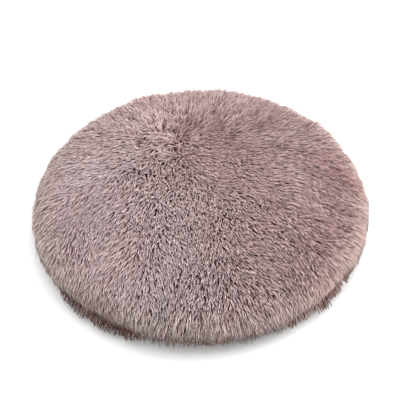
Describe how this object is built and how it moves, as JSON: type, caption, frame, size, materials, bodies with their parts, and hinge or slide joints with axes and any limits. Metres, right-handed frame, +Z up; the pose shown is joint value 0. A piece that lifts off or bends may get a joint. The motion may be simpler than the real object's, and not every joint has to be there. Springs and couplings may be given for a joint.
{
  "type": "pet cushion bed",
  "caption": "Round double-sided long-pile plush floor cushion for a cat or small dog, fibre filled, with a knife-edge rim seam under a combed-out fringe.",
  "frame": {"origin": "on the floor, under the centre of the round cushion", "axes": "+Z up through the centre, -Y towards the front, +X to the right seen from the front"},
  "size_m": [0.5, 0.5, 0.092],
  "materials": {
    "plush_top": "matte",
    "plush_bottom": "matte",
    "knit_backing": "matte",
    "sewing_thread": "satin",
    "polyester_fibre": "matte"
  },
  "bodies": {
    "root": {"top_pile": "plush_top", "top_backing": "knit_backing", "bottom_pile": "plush_bottom", "bottom_backing": "knit_backing", "fibre_fill": "polyester_fibre", "rim_needle_thread": "sewing_thread", "rim_bobbin_thread": "sewing_thread", "rim_overlock_thread": "sewing_thread", "closing_stitches": "sewing_thread"}
  },
  "joints": []
}
